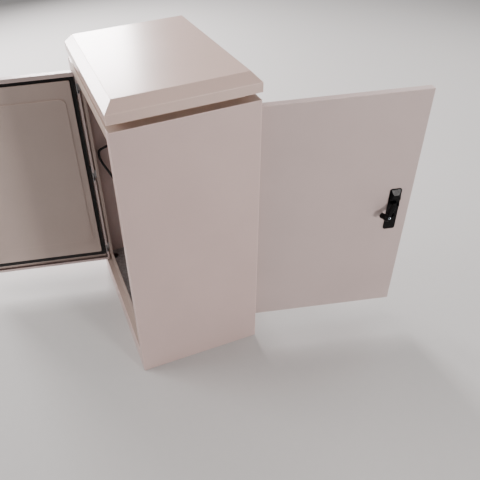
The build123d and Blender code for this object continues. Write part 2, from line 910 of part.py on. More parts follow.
def make_lever(name, door):
    """The lever, standing out from the door, with the boss for the lock at its end."""
    plane = lever_plane(door)
    with BuildPart() as lever:
        with BuildSketch(plane.offset(-lever_thickness / 2)):
            with Locations((0, -tongue_length / 2)):
                Rectangle(tongue_width, tongue_length)
            with Locations((0, -(tongue_length + lever_length) / 2)):
                Rectangle(lever_width, lever_length - tongue_length)
            with Locations((0, -lever_length)):
                Circle(boss_radius)
        extrude(amount=lever_thickness)
        across = Plane(origin=plane.origin, x_dir=plane.y_dir, z_dir=plane.x_dir)
        with BuildSketch(across.offset(-tongue_width / 2)):
            Circle(lever_thickness / 2)
        extrude(amount=tongue_width)
        with BuildSketch(across.offset(-tongue_width)):
            Circle(lift_pin_radius)
        extrude(amount=2 * tongue_width, mode=Mode.SUBTRACT)
        with BuildSketch(plane.offset(-lever_thickness)):
            with Locations((0, -lever_length)):
                Circle(barrel_radius)
        extrude(amount=2 * lever_thickness, mode=Mode.SUBTRACT)
        outward = Axis(plane.origin, plane.z_dir)
        front = lever.faces().filter_by(outward).sort_by(outward)[-1]
        fillet(front.outer_wire().edges(), radius=lever_edge)
    save(lever, name)


def make_lock_cylinder(name, door):
    """The lock's barrel through the lever's boss."""
    plane = lever_plane(door)
    with BuildPart() as barrel:
        with BuildSketch(plane.offset(-barrel_back)):
            with Locations((0, -lever_length)):
                Circle(barrel_radius)
                Circle(plug_radius + plug_clearance, mode=Mode.SUBTRACT)
        extrude(amount=barrel_back + barrel_front)
    save(barrel, name)


def make_lock_plug(name, door):
    """The turning core of the lock, with its key slot and the tail that latches in the well."""
    plane = lever_plane(door)
    tail_back = barrel_back + tail_cam_gap + tail_cam_thickness
    with BuildPart() as plug:
        with BuildSketch(plane.offset(-tail_back)):
            with Locations((0, -lever_length)):
                Circle(plug_radius)
        extrude(amount=tail_back + barrel_front - plug_recess)
        with BuildSketch(plane.offset(-tail_back)):
            with Locations((0, -lever_length + tail_cam_length / 2)):
                SlotCenterToCenter(tail_cam_length, 2 * plug_radius, rotation=90)
        extrude(amount=tail_cam_thickness)
        with BuildSketch(plane.offset(barrel_front)):
            with Locations((0, -lever_length)):
                Rectangle(key_slot_width, key_slot_height)
        extrude(amount=-key_slot_depth, mode=Mode.SUBTRACT)
    save(plug, name)


def rod_face(door, depth):
    """A plane along the inner side of a door, seen from outside, centred on the spindle."""
    face = face_plane(door, depth)
    origin = face.from_local_coords(Vector(handle_centre, hub_height_on_door, 0))
    return Plane(origin=origin, x_dir=face.x_dir, z_dir=face.z_dir)


def make_rod_cam(name, door):
    """The plate on the spindle's end whose two pins draw the rods back."""
    depth = rod_depth + rod_thickness + rod_cam_gap
    plane = rod_face(door, depth)
    pin_angle = 45 - swing_angle
    with BuildPart() as cam:
        with BuildSketch(plane):
            Circle(rod_cam_radius)
            Circle(spindle_radius, mode=Mode.SUBTRACT)
        extrude(amount=-rod_cam_thickness)
        with BuildSketch(plane):
            with PolarLocations(rod_pin_arm, 2, start_angle=pin_angle):
                Circle(rod_pin_radius)
        extrude(amount=rod_cam_gap + rod_thickness)
    save(cam, name)


def make_rod(name, door, side):
    """One flat lock rod, side 1 up and -1 down, drawn partly back with the handle half turned."""
    plane = rod_face(door, rod_depth)
    opening_edge = (opening_top if side > 0 else sill_height) - side * gutter_width
    locked_end = opening_edge + side * rod_overlap - hub_height_on_door
    outer_end = locked_end - side * rod_drawn_back
    slot_middle = side * (rod_travel / 2 - rod_drawn_back)
    inner_end = slot_middle - side * (rod_pin_radius + rod_pin_clearance + rod_tail)
    length = abs(outer_end - inner_end)
    with BuildPart() as rod:
        with BuildSketch(plane):
            with Locations((side * rod_offset, (outer_end + inner_end) / 2)):
                Rectangle(rod_width, length)
            with Locations((side * rod_offset, slot_middle)):
                Rectangle(
                    rod_pin_arm * (1 - cos(radians(45))) + 2 * (rod_pin_radius + rod_pin_clearance),
                    2 * (rod_pin_radius + rod_pin_clearance),
                    mode=Mode.SUBTRACT,
                )
        extrude(amount=-rod_thickness)
        tip = rod.edges().filter_by(Axis(plane.origin, plane.z_dir)).group_by(Axis.Z)[-1 if side > 0 else 0]
        fillet(tip, radius=rod_width / 2 - rod_tip_margin)
    save(rod, name)


def make_posts():
    """Four upright channels between floor and ceiling that carry everything inside."""
    width = post_outer_x - post_inner_x
    ceiling = body_height - sheet
    with BuildPart() as posts:
        with BuildSketch(Plane.XY.offset(floor_top)):
            for front_y, back_y, web_y in (
                (post_front_y, post_front_y + post_depth, post_front_y),
                (post_rear_y, post_rear_y + post_depth, post_rear_y + post_depth - post_sheet),
            ):
                for side in (-1, 1):
                    with Locations((side * (post_inner_x + width / 2), web_y + post_sheet / 2)):
                        Rectangle(width, post_sheet)
                    for x in (post_inner_x + post_sheet / 2, post_outer_x - post_sheet / 2):
                        with Locations((side * x, (front_y + back_y) / 2)):
                            Rectangle(post_sheet, post_depth)
        extrude(amount=ceiling - floor_top)
    save(posts, "rack_posts")


def make_controller_rack():
    """The card cage: a sheet box open to the front, with ears on the front uprights."""
    with BuildPart() as rack:
        block((-rack_width / 2, rack_front_y, rack_bottom), (rack_width / 2, rack_front_y + rack_depth, rack_top))
        block(
            (-rack_width / 2 + rack_sheet, rack_front_y, rack_bottom + rack_sheet),
            (rack_width / 2 - rack_sheet, rack_front_y + rack_depth - rack_sheet, rack_top - rack_sheet),
            mode=Mode.SUBTRACT,
        )
        for side in (-1, 1):
            low_x, high_x = sorted((side * (rack_width / 2 - rack_sheet), side * rack_panel_width / 2))
            block((low_x, rack_front_y, rack_bottom), (high_x, rack_front_y + ear_thickness, rack_top))
    save(rack, "controller_rack")


def make_card(low_x, high_x, board_x):
    """One plug-in card: a front panel with the circuit board behind it."""
    panel_front = rack_front_y
    low_z = card_middle_z - card_height / 2
    high_z = card_middle_z + card_height / 2
    block((low_x, panel_front, low_z), (high_x, panel_front + card_panel_thickness, high_z))
    block(
        (board_x, panel_front + card_panel_thickness, low_z + card_board_margin),
        (
            board_x + card_board_thickness,
            panel_front + card_panel_thickness + card_board_depth,
            high_z - card_board_margin,
        ),
    )
    with Locations((board_x, panel_front - card_handle_reach / 2, low_z + card_handle_height / 2)):
        Box(card_handle_width, card_handle_reach, card_handle_height)
    with Locations((board_x, panel_front - card_handle_reach / 2, high_z - card_handle_height / 2)):
        Box(card_handle_width, card_handle_reach, card_handle_height)


def make_output_cards():
    """The row of output cards, four lamp channels on each."""
    with BuildPart() as cards:
        for number in range(card_count):
            low_x = first_card_x + number * card_pitch + card_gap / 2
            high_x = low_x + card_pitch - card_gap
            make_card(low_x, high_x, (low_x + high_x) / 2)
    save(cards, "output_cards")


def make_control_card():
    """The main control card: a wide panel with a window for the display and domed membrane keys."""
    with BuildPart() as card:
        low_x = -cards_width / 2 + card_gap / 2
        make_card(low_x, low_x + control_card_width - card_gap, low_x + card_handle_width)
        with Locations((control_card_x, rack_front_y, display_z)):
            Box(display_width, 2 * display_recess, display_height, mode=Mode.SUBTRACT)
        keypad = Plane(origin=(control_card_x, rack_front_y, keys_z), x_dir=(1, 0, 0), z_dir=(0, -1, 0))
        with BuildSketch(keypad):
            with GridLocations(key_pitch, key_pitch, 4, 3):
                Circle(key_radius)
        extrude(amount=key_proud)
    save(card, "control_card")


def make_display():
    """The numeric display behind its window."""
    with BuildPart() as display:
        with Locations((control_card_x, rack_front_y + display_recess / 2, display_z)):
            Box(display_width - 2 * hole_clearance, display_recess, display_height - 2 * hole_clearance)
    save(display, "control_display")


def make_breaker_panel():
    """The cover plate with the window that the breakers look through."""
    with BuildPart() as panel:
        block(
            (-rack_panel_width / 2, rack_front_y, breaker_panel_bottom),
            (rack_panel_width / 2, rack_front_y + ear_thickness, breaker_panel_bottom + breaker_panel_height),
        )
        window_left = breaker_positions[0] - breaker_width / 2 - breaker_window_margin
        window_right = breaker_positions[-1] + breaker_width / 2 + breaker_window_margin
        block(
            (window_left, rack_front_y, breaker_middle_z - breaker_window_height / 2),
            (window_right, rack_front_y + ear_thickness, breaker_middle_z + breaker_window_height / 2),
            mode=Mode.SUBTRACT,
        )
    save(panel, "breaker_panel")


def make_breakers():
    """Two breakers on the upper rail, noses through the window of the cover plate."""
    nose_front = rack_front_y - breaker_nose_proud
    body_front = rack_front_y + ear_thickness + hole_clearance
    back = rail_y
    half_slot = toggle_width / 2 + toggle_clearance
    with BuildPart() as breakers:
        for x in breaker_positions:
            low_x = x - breaker_width / 2
            high_x = x + breaker_width / 2
            block(
                (low_x, body_front, breaker_middle_z - breaker_height / 2),
                (high_x, back, breaker_middle_z + breaker_height / 2),
            )
            block(
                (low_x, nose_front, breaker_middle_z - breaker_nose / 2),
                (high_x, body_front, breaker_middle_z + breaker_nose / 2),
            )
            axle = Plane(origin=(x, breaker_axis_y, breaker_middle_z), x_dir=(0, 1, 0), z_dir=(1, 0, 0))
            with BuildSketch(axle.offset(-half_slot)):
                Circle(toggle_radius + toggle_clearance)
            extrude(amount=2 * half_slot, mode=Mode.SUBTRACT)
            with BuildSketch(axle.offset(axle_seat_wall - breaker_width / 2)):
                Circle(toggle_axle_radius + hinge_bore_clearance)
            extrude(amount=breaker_width - 2 * axle_seat_wall, mode=Mode.SUBTRACT)
            reach = toggle_radius + toggle_clearance
            block(
                (x - half_slot, nose_front, breaker_middle_z - reach),
                (x + half_slot, breaker_axis_y, breaker_middle_z + reach),
                mode=Mode.SUBTRACT,
            )
    save(breakers, "circuit_breakers")


def make_toggles():
    """The toggle of each breaker, tipped up in its on position, on its own axle."""
    axle_end = axle_seat_wall + hole_clearance
    bar_start = toggle_radius / 2
    for number, x in enumerate(breaker_positions):
        plane = Plane(origin=(x, breaker_axis_y, breaker_middle_z), x_dir=(0, -1, 0), z_dir=(-1, 0, 0))
        raised = spun(plane, plane.z_dir, toggle_swing / 2)
        with BuildPart() as toggle:
            with BuildSketch(raised.offset(-toggle_width / 2)):
                Circle(toggle_radius)
                with Locations(((toggle_reach + bar_start) / 2, 0)):
                    Rectangle(toggle_reach - bar_start, toggle_tip)
            extrude(amount=toggle_width)
            with BuildSketch(plane.offset(axle_end - breaker_width / 2)):
                Circle(toggle_axle_radius)
            extrude(amount=breaker_width - 2 * axle_end)
        save(toggle, ("mains_breaker_toggle", "lamp_breaker_toggle")[number])


def make_power_supply():
    """The mains and battery supply unit on its shelf between the uprights."""
    with BuildPart() as supply:
        block(
            (-supply_width / 2, rack_front_y + ear_thickness + supply_setback, supply_bottom),
            (
                supply_width / 2,
                rack_front_y + ear_thickness + supply_setback + supply_depth,
                supply_bottom + supply_height,
            ),
        )
        corners = supply.edges().filter_by(Axis.Z)
        fillet(corners, radius=bend_radius)
    save(supply, "power_supply")
    with BuildPart() as shelf:
        block(
            (-rack_width / 2, rack_front_y, supply_bottom - rack_sheet),
            (rack_width / 2, rack_front_y + shelf_depth, supply_bottom),
        )
        for side in (-1, 1):
            low_x, high_x = sorted((side * (rack_width / 2 - rack_sheet), side * rack_panel_width / 2))
            block(
                (low_x, rack_front_y, supply_bottom - rack_sheet),
                (high_x, rack_front_y + ear_thickness, supply_bottom + shelf_ear_height),
            )
    save(shelf, "equipment_shelf")


def rail_profile(y, z):
    """A hat-shaped rail across the cabinet, held by a flat bracket on each front upright."""
    half = rack_panel_width / 2
    crown = rail_width / 2 - rail_brim
    for side in (-1, 1):
        low_x, high_x = sorted((side * (post_inner_x - rail_bracket), side * post_inner_x))
        block((low_x, post_front_y + post_sheet, z - rail_width / 2), (high_x, y + rail_sheet, z + rail_width / 2))
    block((-half, y, z - rail_width / 2), (half, y + rail_sheet, z - crown))
    block((-half, y, z + crown), (half, y + rail_sheet, z + rail_width / 2))
    block((-half, y, z - crown), (half, y + rail_depth, z - crown + rail_sheet))
    block((-half, y, z + crown - rail_sheet), (half, y + rail_depth, z + crown))
    block((-half, y + rail_depth - rail_sheet, z - crown), (half, y + rail_depth, z + crown))


def make_rails():
    """The two hat rails, for the breakers above and the terminals below."""
    with BuildPart() as rails:
        rail_profile(rail_y, breaker_middle_z)
        rail_profile(rail_y, terminal_rail_height)
    save(rails, "mounting_rails")


def make_terminals():
    """A row of clamp terminals, one block for each output card, on the lower rail."""
    start = -(card_count - 1) * card_pitch / 2
    low = terminal_rail_height - terminal_height / 2
    high = terminal_rail_height + terminal_height / 2
    front = rail_y - terminal_depth
    half = card_pitch / 2 - terminal_gap
    with BuildPart() as terminals:
        for number in range(card_count):
            x = start + number * card_pitch
            block((x - half, front + terminal_step, low), (x + half, rail_y, high))
            block(
                (x - half, front, low + terminal_step),
                (x + half, front + terminal_step, high - terminal_step),
            )
    save(terminals, "terminal_blocks")


def make_supply_box():
    """The inlet box on the right wall, where the cable leaves through a gland."""
    low_x = inner_half_width - box_width
    with BuildPart() as box:
        block(
            (low_x, box_front_y, box_centre_z - box_height / 2),
            (inner_half_width, box_front_y + box_depth, box_centre_z + box_height / 2),
        )
        fillet(box.edges().filter_by(Axis.X), radius=bend_radius)
        outlet = Plane(
            origin=(cable_x, box_front_y + box_depth, box_centre_z), x_dir=(1, 0, 0), z_dir=(0, 1, 0)
        )
        with BuildSketch(outlet):
            RegularPolygon(gland_radius, 6)
        extrude(amount=outlet_length)
        with BuildSketch(outlet.offset(outlet_length - sleeve_seat)):
            Circle(sleeve_radius)
        extrude(amount=sleeve_seat, mode=Mode.SUBTRACT)
    save(box, "supply_box")


def make_gland_plate():
    """The plate over the floor's opening, drilled for the glands."""
    with BuildPart() as plate:
        with BuildSketch(Plane.XY.offset(floor_top)):
            Rectangle(gland_plate_width, gland_plate_depth)
        extrude(amount=gland_plate_sheet)
        with Locations((0, 0, floor_top + gland_plate_sheet)):
            with GridLocations(gland_pitch, gland_pitch, gland_count, 2):
                Hole(gland_body_radius + hole_clearance, depth=gland_plate_sheet)
    save(plate, "gland_plate")


def make_glands():
    """Two rows of cable glands; the last takes the cable, the others are plugged."""
    top = floor_top + gland_plate_sheet
    below = floor_top - gland_nut
    with BuildPart() as glands:
        with BuildSketch(Plane.XY.offset(top)):
            with GridLocations(gland_pitch, gland_pitch, gland_count, 2):
                RegularPolygon(gland_radius, 6)
        extrude(amount=gland_nut)
        with BuildSketch(Plane.XY.offset(top)):
            with GridLocations(gland_pitch, gland_pitch, gland_count, 2):
                Circle(gland_body_radius)
        extrude(amount=gland_length)
        with BuildSketch(Plane.XY.offset(top)):
            with GridLocations(gland_pitch, gland_pitch, gland_count, 2):
                Circle(gland_body_radius)
        extrude(amount=-gland_plate_sheet - sheet - 2 * gland_nut)
        with BuildSketch(Plane.XY.offset(floor_top)):
            with GridLocations(gland_pitch, gland_pitch, gland_count, 2):
                RegularPolygon(gland_radius, 6)
        extrude(amount=-gland_nut)
        with Locations((gland_x, gland_y, top + gland_length)):
            Hole(cable_radius, depth=cable_seat)
    save(glands, "cable_glands")


def make_fan_housing():
    """The square fan frame under the ceiling, with the motor held on four struts."""
    top = body_height - sheet
    bottom = top - fan_thickness
    with BuildPart() as fan:
        with BuildSketch(Plane.XY.offset(bottom)):
            RectangleRounded(fan_size, fan_size, bend_radius)
            Circle(fan_bore_radius, mode=Mode.SUBTRACT)
        extrude(amount=fan_thickness)
        with BuildSketch(Plane.XY.offset(bottom)):
            Rectangle(2 * fan_bore_radius + fan_strut, fan_strut)
            Rectangle(fan_strut, 2 * fan_bore_radius + fan_strut)
            Circle(fan_hub_radius)
        extrude(amount=fan_strut)
        with Locations((0, 0, bottom + fan_strut)):
            Hole(fan_shaft_radius + spindle_clearance, depth=fan_strut)
    save(fan, "fan_housing")


def make_fan_rotor():
    """The fan's rotor: a hub with pitched blades on a short shaft."""
    top = body_height - sheet
    bottom = top - fan_thickness
    low = bottom + fan_strut + fan_hub_gap
    high = top - fan_rotor_drop
    with BuildPart() as rotor:
        with BuildSketch(Plane.XY.offset(low)):
            Circle(fan_hub_radius)
        extrude(amount=high - low)
        with BuildSketch(Plane.XY.offset(bottom)):
            Circle(fan_shaft_radius)
        extrude(amount=fan_strut + fan_hub_gap)
        middle = (low + high) / 2
        for turn in range(fan_blade_count):
            around = spun(Plane.XY.offset(middle), Vector(0, 0, 1), 360 * turn / fan_blade_count)
            root = Plane(origin=around.origin, x_dir=around.y_dir, z_dir=around.x_dir)
            pitched = spun(root.offset(fan_hub_radius - fan_blade_root), root.z_dir, fan_blade_pitch)
            with BuildSketch(pitched):
                Rectangle(fan_blade_chord, fan_blade_thickness)
            extrude(amount=fan_blade_radius - fan_hub_radius + fan_blade_root)
    save(rotor, "fan_rotor")


def route_radii(points):
    """The largest arc at each corner of a route that its two runs leave room for."""
    radii = []
    for before, corner, after in zip(points, points[1:], points[2:]):
        run_in = Vector(*corner) - Vector(*before)
        run_out = Vector(*after) - Vector(*corner)
        turn = radians(run_in.get_angle(run_out))
        radii.append(arc_share * min(run_in.length, run_out.length) / tan(turn / 2))
    return radii


def make_cable():
    """The cable from the inlet box, arching past the rear doorway and down to its gland."""
    start_y = box_front_y + box_depth + outlet_length - sleeve_seat
    end_z = floor_top + gland_plate_sheet + gland_length - cable_seat
    points = [(cable_x, start_y, box_centre_z)]
    points += [(cable_x + x, half_depth + y, box_centre_z + z) for x, y, z in cable_route]
    points += [(gland_x, gland_y, floor_top + gland_plate_sheet + cable_drop), (gland_x, gland_y, end_z)]
    radii = route_radii(points)
    print("cable radii", [round(radius, 1) for radius in radii])
    with BuildPart() as cable:
        with BuildLine() as route:
            FilletPolyline(*points, radius=radii)
        with BuildSketch(Plane(origin=points[0], z_dir=Vector(*points[1]) - Vector(*points[0]))):
            Circle(cable_radius)
        sweep()
    length = sum(edge.length for edge in route.edges())
    print("cable length", round(length, 1), "volume ratio", cable.part.volume / (pi * cable_radius**2 * length))
    save(cable, "signal_cable")
    with BuildPart() as sleeve:
        with BuildSketch(Plane(origin=points[0], z_dir=(0, 1, 0))):
            Circle(sleeve_radius)
            Circle(cable_radius, mode=Mode.SUBTRACT)
        extrude(amount=sleeve_length)
    save(sleeve, "cable_sleeve")


def make_door(side, door, closed, pressed):
    """All the pieces of one door and its hinges."""
    make_hinge_brackets(f"{side}_hinge_brackets", closed)
    make_hinge_leaves(f"{side}_hinge_leaves", door)
    make_hinge_pins(f"{side}_hinge_pins", door)
    make_door_pan(f"{side}_door_pan", door)
    make_liner(f"{side}_door_liner", door, pressed)
    make_seal(f"{side}_door_seal", door)
    make_handle_plate(f"{side}_handle_plate", door)
    make_hub(f"{side}_handle_hub", door)
    make_lever(f"{side}_handle_lever", door)
    make_lock_cylinder(f"{side}_lock_cylinder", door)
    make_lock_plug(f"{side}_lock_plug", door)
    make_rod_cam(f"{side}_rod_cam", door)
    make_rod(f"{side}_upper_rod", door, 1)
    make_rod(f"{side}_lower_rod", door, -1)


make_side_panel("left_side_panel", -1)
make_side_panel("right_side_panel", 1)
make_top_panel()
make_sills()
make_floor_panel()
make_base_frame()
make_door_frame("front_door_frame", front_closed)
make_door_frame("rear_door_frame", rear_closed)
make_neck_frame()
make_roof_cap()
make_roof_bolts()
make_door("front", front_open, front_closed, pressed=False)
make_door("rear", rear_open, rear_closed, pressed=True)
make_pocket()
make_posts()
make_controller_rack()
make_output_cards()
make_control_card()
make_display()
make_breaker_panel()
make_breakers()
make_toggles()
make_power_supply()
make_rails()
make_terminals()
make_supply_box()
make_gland_plate()
make_glands()
make_fan_housing()
make_fan_rotor()
make_cable()
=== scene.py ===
"""Looks of an outdoor controller cabinet with both doors open: finishes, fine parts, light and camera.

Metres. Z is up, the front doorway faces -Y, the origin is at the centre of the base on the floor.
"""
import json
import math

import bmesh
import bpy
from mathutils import Euler, Matrix, Vector


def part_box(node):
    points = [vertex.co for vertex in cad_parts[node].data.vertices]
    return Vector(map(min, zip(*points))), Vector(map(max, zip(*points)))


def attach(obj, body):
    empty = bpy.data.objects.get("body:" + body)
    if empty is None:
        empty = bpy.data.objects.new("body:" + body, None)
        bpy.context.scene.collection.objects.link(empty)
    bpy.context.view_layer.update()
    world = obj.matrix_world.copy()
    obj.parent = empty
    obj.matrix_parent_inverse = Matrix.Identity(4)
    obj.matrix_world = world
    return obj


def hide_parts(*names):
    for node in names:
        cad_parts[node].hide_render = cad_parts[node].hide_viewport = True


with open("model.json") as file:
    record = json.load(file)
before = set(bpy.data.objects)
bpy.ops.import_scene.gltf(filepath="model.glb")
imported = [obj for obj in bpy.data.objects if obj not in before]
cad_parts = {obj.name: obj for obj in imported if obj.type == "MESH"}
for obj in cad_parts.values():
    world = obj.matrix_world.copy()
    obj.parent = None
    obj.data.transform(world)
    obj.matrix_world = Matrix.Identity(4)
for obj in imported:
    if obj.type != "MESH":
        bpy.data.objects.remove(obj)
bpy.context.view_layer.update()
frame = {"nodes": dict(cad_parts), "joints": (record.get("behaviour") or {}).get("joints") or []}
nodes = frame["nodes"]
joints = {joint["name"]: joint for joint in frame["joints"]}
SIDES = ("front", "rear")

# Camera, solved from the cabinet's corners in the photograph
# Its place is in metres, its turn in degrees, the sensor in millimetres and the rest in pixels
IMAGE_SIZE = 480
SENSOR = 36
CAMERA_PLACE = (-1.552, 0.418, 1.671)
CAMERA_TURN = (54.34, 3.81, -108.96)
FOCAL_PIXELS = 534.6
OPTICAL_CENTRE = (174.3, 196.9)

# Cable route, the same points as the source's
CABLE_RADIUS = 0.005
CABLE_START = (0.283, 0.058, 0.633)
CABLE_POINTS = (
    (0.283, 0.172, 0.633),
    (0.283, 0.183, 0.584),
    (0.282, 0.145, 0.497),
    (0.275, 0.117, 0.428),
    (0.258, 0.104, 0.363),
    (0.221, 0.101, 0.303),
    (0.178, 0.086, 0.248),
    (0.143, 0.054, 0.205),
    (0.130, 0.026, 0.165),
)
CABLE_END = (0.130, 0.026, 0.098)

# Keypad and inlet box, the same sizes as the source's
KEYS_BELOW_DISPLAY = 0.066
KEY_PITCH = 0.015
OUTLET_LENGTH = 0.016

# Screw heads, as radius and height
CARD_SCREW = (0.0034, 0.0030)
EAR_SCREW = (0.0046, 0.0034)
TERMINAL_SCREW = (0.0024, 0.0010)
BREAKER_SCREW = (0.0022, 0.0008)
STRIP_SCREW = (0.0036, 0.0018)
LID_SCREW = (0.0030, 0.0016)
FAN_SCREW = (0.0040, 0.0040)
PLATE_SCREW = (0.0042, 0.0030)

# Turns in degrees that point a place's Z out of a surface
FRONT = (90, 0, 0)
REAR = (-90, 0, 0)
LEFT = (0, -90, 0)
DOWN = (180, 0, 0)
UP = (0, 0, 0)

# Edges where faces meet at more than an angle in degrees are rounded; the handle plates' facets need less
EDGE_ANGLE = 28
FACET_ANGLE = 20
EDGE_SEGMENTS = 2
WELD_DISTANCE = 0.00002
RING_SEGMENTS = 28

# Colour sockets of a mixing node, and the band that most values of a noise lie in
MIX_FIRST = 6
MIX_SECOND = 7
MIX_COLOUR = 2
NOISE_LOW = 0.3
NOISE_HIGH = 0.7

# Light and floor
WARM = (1.0, 0.945, 0.93)
FLOOR_SIZE = 9
FLOOR_DROP = 0.0005


# Materials
def new_material(name):
    """A material with a node tree, and its main shader."""
    material = bpy.data.materials.new(name)
    material.use_nodes = True
    tree = material.node_tree
    return material, tree, tree.nodes["Principled BSDF"]


def noise(tree, scale, detail=2.0, roughness=0.5, stretch=None):
    """A noise texture in the object's own space, optionally stretched along an axis."""
    place = tree.nodes.new("ShaderNodeTexCoord")
    mapping = tree.nodes.new("ShaderNodeMapping")
    if stretch:
        mapping.inputs["Scale"].default_value = stretch
    texture = tree.nodes.new("ShaderNodeTexNoise")
    texture.inputs["Scale"].default_value = scale
    texture.inputs["Detail"].default_value = detail
    texture.inputs["Roughness"].default_value = roughness
    tree.links.new(place.outputs["Object"], mapping.inputs["Vector"])
    tree.links.new(mapping.outputs["Vector"], texture.inputs["Vector"])
    return texture.outputs["Fac"]


def ramp(tree, value, stops):
    """A colour ramp over a value, with stops of (position, colour)."""
    node = tree.nodes.new("ShaderNodeValToRGB")
    elements = node.color_ramp.elements
    while len(elements) < len(stops):
        elements.new(0.5)
    for element, (position, colour) in zip(elements, stops):
        element.position = position
        element.color = (*colour, 1)
    tree.links.new(value, node.inputs["Fac"])
    return node.outputs["Color"]


def grey_range(tree, value, low, high):
    """A noise spread from low to high."""
    node = tree.nodes.new("ShaderNodeMapRange")
    node.inputs["From Min"].default_value = NOISE_LOW
    node.inputs["From Max"].default_value = NOISE_HIGH
    node.inputs["To Min"].default_value = low
    node.inputs["To Max"].default_value = high
    tree.links.new(value, node.inputs["Value"])
    return node.outputs["Result"]


def mixed(tree, share, first, colour):
    """One colour turning into another plain colour as the share rises."""
    node = tree.nodes.new("ShaderNodeMix")
    node.data_type = "RGBA"
    tree.links.new(share, node.inputs["Factor"])
    tree.links.new(first, node.inputs[MIX_FIRST])
    node.inputs[MIX_SECOND].default_value = (*colour, 1)
    return node.outputs[MIX_COLOUR]


def bump(tree, shader, height, distance, strength, below=None):
    """Surface relief from a height, over any relief below it."""
    node = tree.nodes.new("ShaderNodeBump")
    node.inputs["Distance"].default_value = distance
    node.inputs["Strength"].default_value = strength
    tree.links.new(height, node.inputs["Height"])
    if below is not None:
        tree.links.new(below, node.inputs["Normal"])
    tree.links.new(node.outputs["Normal"], shader.inputs["Normal"])
    return node.outputs["Normal"]


def scaled(colour, share):
    """A colour made darker or brighter."""
    return tuple(min(1.0, channel * share) for channel in colour)


def edge_share(tree, radius):
    """How near a point is to a sharp edge: 0 on flats, up to 1 on folds."""
    rounded = tree.nodes.new("ShaderNodeBevel")
    rounded.samples = 4
    rounded.inputs["Radius"].default_value = radius
    geometry = tree.nodes.new("ShaderNodeNewGeometry")
    dot = tree.nodes.new("ShaderNodeVectorMath")
    dot.operation = "DOT_PRODUCT"
    tree.links.new(rounded.outputs["Normal"], dot.inputs[0])
    tree.links.new(geometry.outputs["Normal"], dot.inputs[1])
    spread = tree.nodes.new("ShaderNodeMapRange")
    spread.inputs["From Min"].default_value = 0.998
    spread.inputs["From Max"].default_value = 0.95
    tree.links.new(dot.outputs["Value"], spread.inputs["Value"])
    return spread.outputs["Result"]


def powder_coat(name, colour, peel=0.00012, roughness=0.42, edge=1.12, gloss=0.12):
    """Sprayed and baked paint: fine orange peel, slight clouding, and a painted highlight that makes folds
    paler.
    """
    material, tree, shader = new_material(name)
    cloud = ramp(tree, noise(tree, 4.0, 3.0), [(0.35, scaled(colour, 0.965)), (0.65, scaled(colour, 1.02))])
    grain = ramp(tree, noise(tree, 850.0, 2.0, 0.6), [(0.38, (0.93, 0.93, 0.93)), (0.62, (1.0, 1.0, 1.0))])
    tinted = tree.nodes.new("ShaderNodeMix")
    tinted.data_type = "RGBA"
    tinted.blend_type = "MULTIPLY"
    tinted.inputs["Factor"].default_value = 1.0
    tree.links.new(cloud, tinted.inputs[MIX_FIRST])
    tree.links.new(grain, tinted.inputs[MIX_SECOND])
    # Painted highlight: near folds the colour turns paler by the share edge, standing for light caught on the
    # rounded folds.
    painted_fold_highlight = mixed(tree, edge_share(tree, 0.0034), tinted.outputs[MIX_COLOUR], scaled(colour, edge))
    tree.links.new(painted_fold_highlight, shader.inputs["Base Color"])
    tree.links.new(grey_range(tree, noise(tree, 45.0, 2.0), roughness - 0.015, roughness + 0.015),
                   shader.inputs["Roughness"])
    shader.inputs["Specular IOR Level"].default_value = 0.5
    shader.inputs["Coat Weight"].default_value = gloss
    shader.inputs["Coat Roughness"].default_value = 0.2
    waves = bump(tree, shader, noise(tree, 55.0, 2.0), 0.0009, 0.12)
    bump(tree, shader, noise(tree, 620.0, 1.5), peel, 0.55, waves)
    return material


def galvanised(name, colour):
    """Zinc coated steel with its crystal pattern."""
    material, tree, shader = new_material(name)
    place = tree.nodes.new("ShaderNodeTexCoord")
    crystals = tree.nodes.new("ShaderNodeTexVoronoi")
    crystals.inputs["Scale"].default_value = 130.0
    tree.links.new(place.outputs["Object"], crystals.inputs["Vector"])
    spangle = ramp(tree, crystals.outputs["Color"],
                   [(0.2, scaled(colour, 0.82)), (0.8, scaled(colour, 1.08))])
    tree.links.new(spangle, shader.inputs["Base Color"])
    shader.inputs["Metallic"].default_value = 0.85
    tree.links.new(grey_range(tree, noise(tree, 60.0, 3.0), 0.34, 0.5), shader.inputs["Roughness"])
    bump(tree, shader, noise(tree, 300.0, 2.0), 0.0002, 0.4)
    return material


def brushed(name, colour, stretch, roughness=0.34, metallic=0.9):
    """Metal with fine lines along one direction."""
    material, tree, shader = new_material(name)
    lines = noise(tree, 240.0, 3.0, 0.7, stretch)
    tint = ramp(tree, lines, [(NOISE_LOW, scaled(colour, 0.9)), (NOISE_HIGH, scaled(colour, 1.05))])
    tree.links.new(tint, shader.inputs["Base Color"])
    shader.inputs["Metallic"].default_value = metallic
    tree.links.new(grey_range(tree, lines, roughness - 0.06, roughness + 0.08), shader.inputs["Roughness"])
    bump(tree, shader, lines, 0.0001, 0.3)
    return material


def moulded(name, colour, roughness=0.45, grain=500.0, relief=0.00015, spread=0.06):
    """Moulded or sprayed smooth material with a fine grain."""
    material, tree, shader = new_material(name)
    cloud = noise(tree, 35.0, 4.0)
    tint = ramp(tree, cloud,
                [(NOISE_LOW, scaled(colour, 1 - spread)), (NOISE_HIGH, scaled(colour, 1 + spread))])
    tree.links.new(tint, shader.inputs["Base Color"])
    tree.links.new(grey_range(tree, cloud, roughness - 0.05, roughness + 0.07), shader.inputs["Roughness"])
    bump(tree, shader, noise(tree, grain, 2.0), relief, 0.4)
    return material


